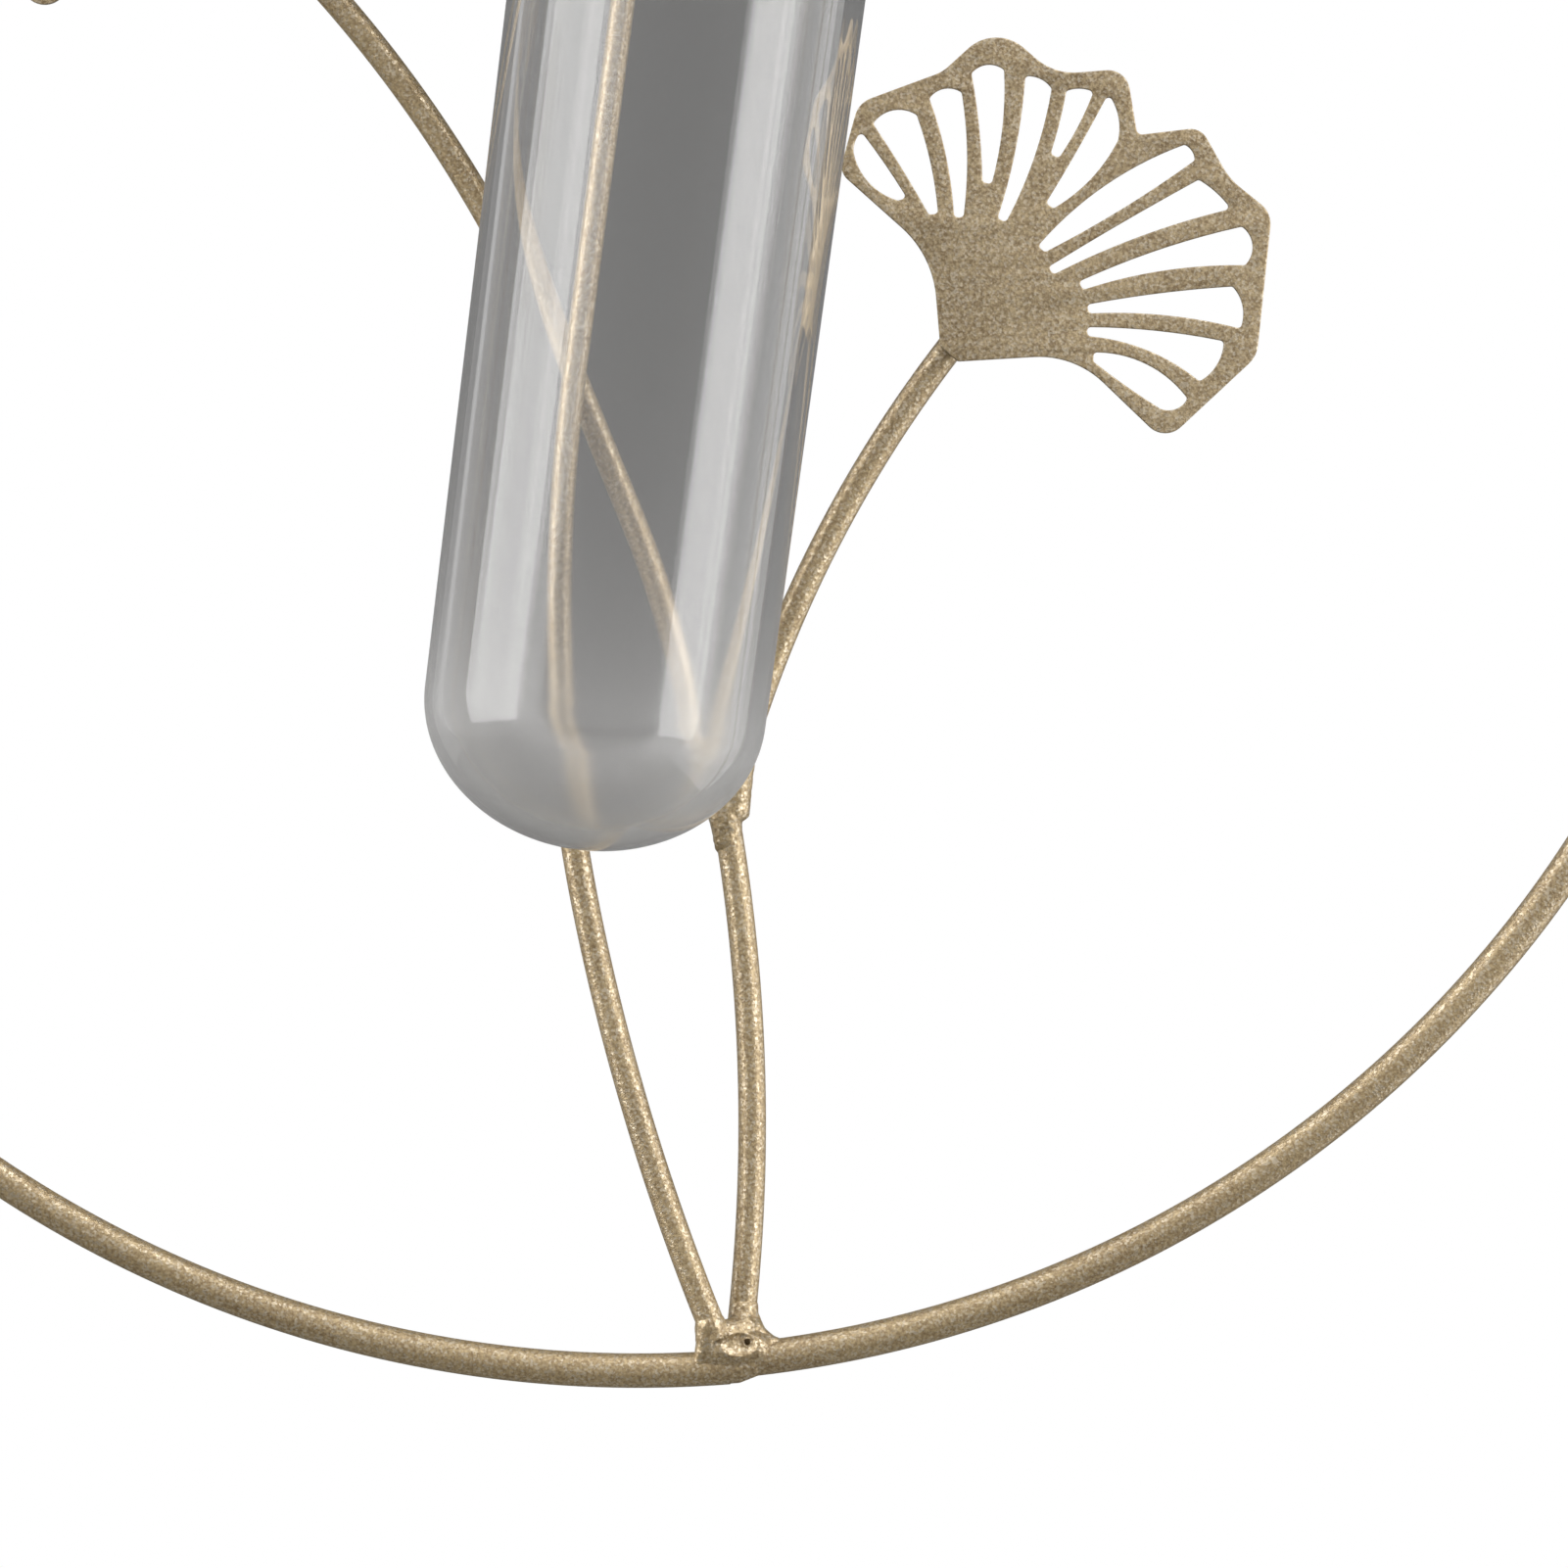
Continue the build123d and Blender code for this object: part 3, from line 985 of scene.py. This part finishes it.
@dataclass(frozen=True)
class Pit:
    """A hollow in the front of a weld: its middle, half sizes, depth, and height of its lip."""

    across: float
    up: float
    half_width: float
    half_height: float
    depth: float
    lip: float = 0.0


@dataclass(frozen=True)
class Weld:
    """One weld bead: runs of drops that flowed together, and the pits left in its skin."""

    name: str
    node: str
    runs: tuple[tuple[Drop, ...], ...]
    pits: tuple[Pit, ...] = ()
    skin: float = 0.07


@dataclass
class WeldBeads:
    """All the weld beads of the frame. Millimetres."""

    finish: bpy.types.Material
    grid: float = 0.10
    smoothing: int = 14
    softness: float = 0.5
    spacing: float = 0.3
    drop_detail: int = 3
    skin_lump: float = 1.1
    skin_fall: float = 0.9
    skin_step: float = 2.0
    skin_layers: int = 3
    front_lean: float = -0.15
    lip_reach: float = 1.1
    lip_width: float = 0.22
    hollow_power: float = 1.2
    welds: tuple[Weld, ...] = (
        Weld(
            "foot_bead",
            "ring_weld",
            (
                (Drop(6.35, -98.0, 4.0, 0.62), Drop(6.9, -96.6, 4.3, 0.95), Drop(7.2, -94.8, 4.4, 1.30)),
                (Drop(7.2, -95.3, 4.2, 1.35), Drop(8.5, -95.9, 3.9, 1.35), Drop(10.0, -95.3, 3.0, 1.35)),
                (Drop(10.1, -95.4, 2.7, 1.35), Drop(10.15, -93.6, 2.0, 1.28)),
                (Drop(10.9, -94.2, 2.2, 0.62), Drop(11.25, -95.6, 2.9, 0.80), Drop(12.1, -96.5, 3.3, 0.85)),
                (Drop(12.1, -96.6, 3.2, 0.9), Drop(13.4, -96.9, 3.2, 0.75)),
                (Drop(7.3, -97.2, 3.7, 1.35), Drop(9.3, -97.0, 3.6, 1.75), Drop(11.2, -97.0, 3.5, 1.5)),
                (Drop(8.3, -98.6, 3.1, 1.55), Drop(9.3, -98.5, 3.1, 1.55), Drop(10.8, -98.0, 3.1, 1.5)),
            ),
            (
                Pit(9.75, -96.6, 1.55, 1.0, 0.55, 0.14),
                Pit(10.43, -96.38, 0.30, 0.32, 0.80, 0.10),
            ),
        ),
        Weld(
            "branch_bead",
            "branch_weld",
            (
                (Drop(9.95, -45.4, 1.95, 1.22), Drop(9.45, -48.2, 2.1, 1.42), Drop(9.3, -50.2, 2.1, 1.40)),
                (Drop(8.4, -49.2, 2.1, 1.35), Drop(8.5, -51.0, 2.15, 1.50), Drop(8.75, -53.2, 1.9, 1.22)),
            ),
            (),
            0.10,
        ),
        Weld(
            "crown_bead",
            "crown_weld",
            (
                (Drop(8.95, 94.9, 4.1, 1.5), Drop(9.1, 96.0, 3.7, 1.9), Drop(9.2, 96.8, 3.4, 1.6)),
                (Drop(8.2, 96.8, 3.3, 1.3), Drop(10.0, 96.6, 3.3, 1.3)),
            ),
        ),
        Weld(
            "loop_bead",
            "holder_weld",
            ((Drop(7.38, 82.9, 5.4, 1.3), Drop(7.3, 82.1, 5.5, 1.55), Drop(7.2, 81.5, 5.3, 1.3)),),
        ),
        Weld(
            "right_leaf_bead",
            "right_leaf_weld",
            ((Drop(29.74, -8.13, 1.85, 1.6), Drop(29.2, -8.9, 1.85, 1.4)),),
        ),
        Weld(
            "left_leaf_bead",
            "left_leaf_weld",
            ((Drop(-33.89, 28.67, 1.85, 1.6), Drop(-33.3, 28.0, 1.85, 1.4)),),
        ),
        Weld(
            "tab_bead",
            "tab_weld",
            (
                (Drop(-6.0, 98.2, 1.5, 1.2), Drop(-6.1, 98.9, 1.5, 1.0)),
                (Drop(6.0, 98.2, 1.5, 1.2), Drop(6.1, 97.5, 1.5, 1.0)),
            ),
        ),
    )

    def drops(self, run: tuple[Drop, ...]) -> list[Drop]:
        """Closely spaced drops along a run.

        Args:
            run: The drops where the run bends or changes size.

        Returns:
            The drops, at most one spacing apart.
        """
        found = [run[-1]]
        for a, b in zip(run, run[1:]):
            reach = math.dist(astuple(a)[:3], astuple(b)[:3])
            steps = max(1, math.ceil(reach / self.spacing))
            for share in (i / steps for i in range(steps)):
                pairs = zip(astuple(a), astuple(b))
                found.append(Drop(*(p + (q - p) * share for p, q in pairs)))
        return found

    def pour(self, weld: Weld) -> bpy.types.Object:
        """Runs a weld's drops together and roughens its skin.

        Args:
            weld: The weld.

        Returns:
            The bead as a plain mesh object.
        """
        shape = bmesh.new()
        for drop in (d for run in weld.runs for d in self.drops(run)):
            spot = Matrix.Translation(place(drop.across, drop.up, drop.depth))
            size = {"subdivisions": self.drop_detail, "radius": drop.radius * MM}
            bmesh.ops.create_icosphere(shape, **size, matrix=spot)
        mesh = bpy.data.meshes.new(weld.name)
        shape.to_mesh(mesh)
        shape.free()
        obj = add_object(weld.name, mesh)
        remesh = obj.modifiers.new("run_together", "REMESH")
        remesh.mode = "VOXEL"
        remesh.voxel_size = self.grid * MM
        soften = obj.modifiers.new("soften", "SMOOTH")
        soften.factor = self.softness
        soften.iterations = self.smoothing
        settle(obj)
        self.roughen(obj.data, weld)
        obj.data.materials.clear()
        obj.data.materials.append(self.finish)
        return obj

    def roughen(self, mesh: bpy.types.Mesh, weld: Weld) -> None:
        """Moves a bead's skin by its ripples and pits.

        Args:
            mesh: The bead's mesh.
            weld: The weld.
        """
        normals = [v.normal.copy() for v in mesh.vertices]
        for vertex, normal in zip(mesh.vertices, normals):
            spot = vertex.co / MM
            lumps = spot / self.skin_lump
            ripple = noise.fractal(lumps, self.skin_fall, self.skin_step, self.skin_layers)
            vertex.co += normal * ripple * weld.skin * MM
            if normal.y > self.front_lean:
                continue
            for pit in weld.pits:
                middle = place(pit.across, pit.up, 0.0) / MM
                aside = (spot.x - middle.x) / pit.half_width
                above = (spot.z - middle.z) / pit.half_height
                reach = math.hypot(aside, above)
                lip = pit.lip * math.exp(-(((reach - self.lip_reach) / self.lip_width) ** 2))
                hollow = pit.depth * max(0.0, 1.0 - reach * reach) ** self.hollow_power
                vertex.co.y += (hollow - lip) * MM
        mesh.shade_smooth()
        mesh.update()

    def build(self) -> None:
        """Pours every bead and puts it on the frame."""
        for weld in self.welds:
            attach(self.pour(weld), Body.FRAME, weld.node)


@dataclass
class WaterTube:
    """The clear moulded tube that hangs in the loop. Millimetres."""

    finish: bpy.types.Material
    length: float = 140.0
    base_radius: float = 14.65
    draft: float = 0.54
    wall: float = 1.5
    dome: float = 12.4
    floor: float = 1.8
    core_line: float = 10.2
    core_ease: float = 1.6
    rim_flare: float = 2.1
    rim_thickness: float = 2.0
    tilt: float = 7.3
    base_height: float = 9.0
    base_reach: float = 18.0
    bottom: Point3 = (-4.100, -53.717, 23.397)
    steps: int = 192
    dome_steps: int = 40
    wall_steps: int = 40
    bowl_steps: int = 60
    ease_steps: int = 10

    def radius(self, height: float) -> float:
        """Outside radius of the tapered wall at a height."""
        return self.base_radius + (height - self.dome) * math.tan(math.radians(self.draft))

    def rises(self) -> list[float]:
        """Heights of the steps up the straight wall, from above the dome to under the rim."""
        under, steps = self.length - self.rim_thickness, self.wall_steps
        return [self.dome + (under - self.dome) * i / steps for i in range(1, steps + 1)]

    def outside(self) -> list[Point2]:
        """Draws the dome, the outer wall and the rim, from the outer pole to the bore's mouth.

        Returns:
            Half section as (radius, height).
        """
        under = self.length - self.rim_thickness
        neck = self.radius(under)
        mouth, rim = neck - self.wall, neck + self.rim_flare
        turns = [math.radians(90 * i / self.dome_steps) for i in range(self.dome_steps + 1)]
        dome = [(self.base_radius * math.sin(t), self.dome * (1 - math.cos(t))) for t in turns]
        middle, half = (rim + mouth) / 2, (rim - mouth) / 2
        bead = [
            (middle + half * math.cos(2 * t), under + self.rim_thickness * math.sin(2 * t))
            for t in turns
        ]
        return [*dome, *((self.radius(height), height) for height in self.rises()), *bead]

    def inside(self) -> list[Point2]:
        """Draws the bore from the inner pole up, with the crease over its bowl eased.

        Returns:
            Half section as (radius, height).
        """
        foot = self.core_line + self.core_ease
        wall_foot = (self.radius(foot) - self.wall, foot)
        crease = (self.radius(self.core_line) - self.wall, self.core_line)
        bowl = arc_from_tangent((0.0, self.floor), (1.0, 0.0), crease, self.bowl_steps)
        kept = [spot for spot in bowl if math.dist(spot, bowl[-1]) > self.core_ease]
        eased = [
            tuple(
                a * (1 - t) ** 2 + 2 * b * t * (1 - t) + c * t * t
                for a, b, c in zip(kept[-1], bowl[-1], wall_foot)
            )
            for t in (i / self.ease_steps for i in range(1, self.ease_steps + 1))
        ]
        wall = [(self.radius(height) - self.wall, height) for height in self.rises()[1:-1]]
        return kept + eased + wall

    def section(self) -> list[Point2]:
        """Half section of the whole wall as (radius, height), from outer pole to inner pole."""
        return self.outside() + self.inside()[::-1]

    def mark(self, mesh: bpy.types.Mesh) -> None:
        """Marks the outer skin, and how near each point is to the tube's bottom.

        Args:
            mesh: The upright tube's mesh.
        """
        middle = Vector((0.0, 0.0, self.dome * MM))
        skin = mesh.attributes.new("outer_skin", "FLOAT", "POINT")
        base = mesh.attributes.new("near_base", "FLOAT", "POINT")
        for vertex, outer, near in zip(mesh.vertices, skin.data, base.data):
            outer.value = 1.0 if vertex.normal.dot(vertex.co - middle) > 0.0 else 0.0
            above = max(0.0, vertex.co.z / MM - self.base_height)
            near.value = math.exp(-above / self.base_reach)

    def build(self) -> None:
        """Turns the tube, leans it into place and puts it on its body."""
        piece = TurnedTree().make("clear_tube", self.section(), self.steps, self.finish)
        shape = bmesh.new()
        shape.from_mesh(piece.data)
        bmesh.ops.recalc_face_normals(shape, faces=shape.faces)
        shape.to_mesh(piece.data)
        shape.free()
        self.mark(piece.data)
        lean = Matrix.Rotation(math.radians(self.tilt), 4, "Y")
        piece.data.transform(Matrix.Translation(place(*self.bottom)) @ lean)
        attach(piece, Body.TUBE, "water_tube")


# Studio


@dataclass(frozen=True)
class Softbox:
    """A soft lamp: its direction from the object in degrees, distance and size in metres."""

    name: str
    azimuth: float
    elevation: float
    distance: float
    width: float
    height: float
    brightness: float
    watts_per_area: float = 4.0

    def build(self, target: Vector) -> None:
        """Hangs the lamp and turns it to the object.

        Args:
            target: The point that it faces.
        """
        lamp = bpy.data.lights.new(self.name, "AREA")
        lamp.shape = "RECTANGLE"
        lamp.size, lamp.size_y = self.width, self.height
        lamp.energy = self.brightness * self.watts_per_area * self.width * self.height
        obj = bpy.data.objects.new(self.name, lamp)
        bpy.context.scene.collection.objects.link(obj)
        turn, rise = math.radians(self.azimuth), math.radians(self.elevation)
        toward = Vector(
            (math.sin(turn) * math.cos(rise), -math.cos(turn) * math.cos(rise), math.sin(rise))
        )
        obj.location = target + toward * self.distance
        obj.rotation_mode = "QUATERNION"
        obj.rotation_quaternion = (-toward).to_track_quat("-Z", "Y")
        obj.visible_camera = False


@dataclass
class Studio:
    """Camera, lamps, floor and background.

    The two points are in millimetres, from the hoop's centre and the wall, and lengths in metres.
    """

    look_at: Point3 = (13.6, -48.1, 3.15)
    lit_at: Point3 = (0.0, 0.0, 3.15)
    camera_distance: float = 1.5
    shown_width: float = 0.13581
    sensor_mm: float = 36.0
    floor_drop: float = 1.1
    floor_side: float = 5.0
    floor_cells: int = 8
    front_grey: float = 0.72
    back_grey: float = 0.18
    front_span: Span = (0.3, -0.6)
    glass_grey: float = 0.08
    bounced_share: float = 0.5
    fill: float = 0.26
    softboxes: tuple[Softbox, ...] = (
        Softbox("left_softbox", -74.0, 22.0, 1.1, 0.95, 1.7, 2.85),
        Softbox("right_softbox", 59.0, 22.0, 1.1, 0.69, 2.4, 2.25),
        Softbox("left_bounce", -122.0, 10.0, 1.1, 0.80, 1.5, 0.25),
        Softbox("right_bounce", 97.0, -12.0, 1.1, 1.10, 1.7, 1.12),
        Softbox("top_softbox", 0.0, 72.0, 1.1, 1.2, 1.1, 1.3),
    )

    def camera(self) -> None:
        """Sets the camera square to the hoop."""
        data = bpy.data.cameras.new("camera")
        data.sensor_width = self.sensor_mm
        data.lens = self.sensor_mm * self.camera_distance / self.shown_width
        obj = bpy.data.objects.new("camera", data)
        obj.location = place(*self.look_at) + Vector((0.0, -self.camera_distance, 0.0))
        obj.rotation_euler = (math.radians(90.0), 0.0, 0.0)
        bpy.context.scene.collection.objects.link(obj)
        bpy.context.scene.camera = obj

    def floor(self) -> None:
        """Lays the floor below the view."""
        shape = bmesh.new()
        cells = {"x_segments": self.floor_cells, "y_segments": self.floor_cells}
        bmesh.ops.create_grid(shape, **cells, size=self.floor_side / 2)
        mesh = bpy.data.meshes.new("floor")
        shape.to_mesh(mesh)
        shape.free()
        mesh.transform(Matrix.Translation((0.0, 0.0, -self.floor_drop)))
        mesh.materials.append(PaleFloor().material())
        add_object("floor", mesh)

    def background(self) -> None:
        """Gives the camera a white background, and metal and glass a plain grey studio."""
        world = bpy.data.worlds.new("studio")
        bpy.context.scene.world = world
        world.use_nodes = True
        world.node_tree.nodes.clear()
        graph = Graph(world.node_tree)
        seen = graph.node("ShaderNodeLightPath", output="Is Camera Ray")
        through = seen.sibling("Is Transmission Ray")
        way = graph.node("ShaderNodeTexCoord", output="Generated")
        into = graph.node("ShaderNodeSeparateXYZ", inputs={0: way}, output="Y")
        front = into.between(*self.front_span)
        studio = front * (self.front_grey - self.back_grey) + self.back_grey
        bounced = seen.sibling("Glossy Depth").between(0.0, 1.0)
        straight = through * (1.0 - bounced * self.bounced_share)
        metal = seen.sibling("Is Glossy Ray") * (1.0 - straight) * studio
        glass = straight * self.glass_grey
        soft = seen.sibling("Is Diffuse Ray") * self.fill
        light = {"Color": (1.0, 1.0, 1.0, 1.0), "Strength": seen + metal + glass + soft}
        surface = graph.node("ShaderNodeBackground", inputs=light)
        graph.node("ShaderNodeOutputWorld", inputs={"Surface": surface})

    def build(self) -> None:
        """Sets up the whole studio."""
        bpy.context.scene.view_settings.view_transform = "Standard"
        self.camera()
        self.floor()
        self.background()
        for softbox in self.softboxes:
            softbox.build(place(*self.lit_at))


def main() -> None:
    """Builds every piece, then the studio."""
    logging.basicConfig(level=logging.INFO, format="%(name)s: %(message)s")
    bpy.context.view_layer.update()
    # The wires and welds get a darker copy of the one paint: painted shade.
    shaded_wire_paint = GoldPaint().material()
    # The leaves and tab get a paler copy of the same paint: painted light for the light the leaves catch.
    lit_sheet_paint = GoldPaint(
        name="champagne_gold_on_sheet",
        deep=(0.215, 0.145, 0.068),
        pale=(0.555, 0.43, 0.252),
    ).material()
    WireFrame(shaded_wire_paint).build()
    SheetPieces(lit_sheet_paint).build()
    WeldBeads(shaded_wire_paint).build()
    WaterTube(ClearPlastic().material()).build()
    Studio().build()


if __name__ == "__main__":
    main()
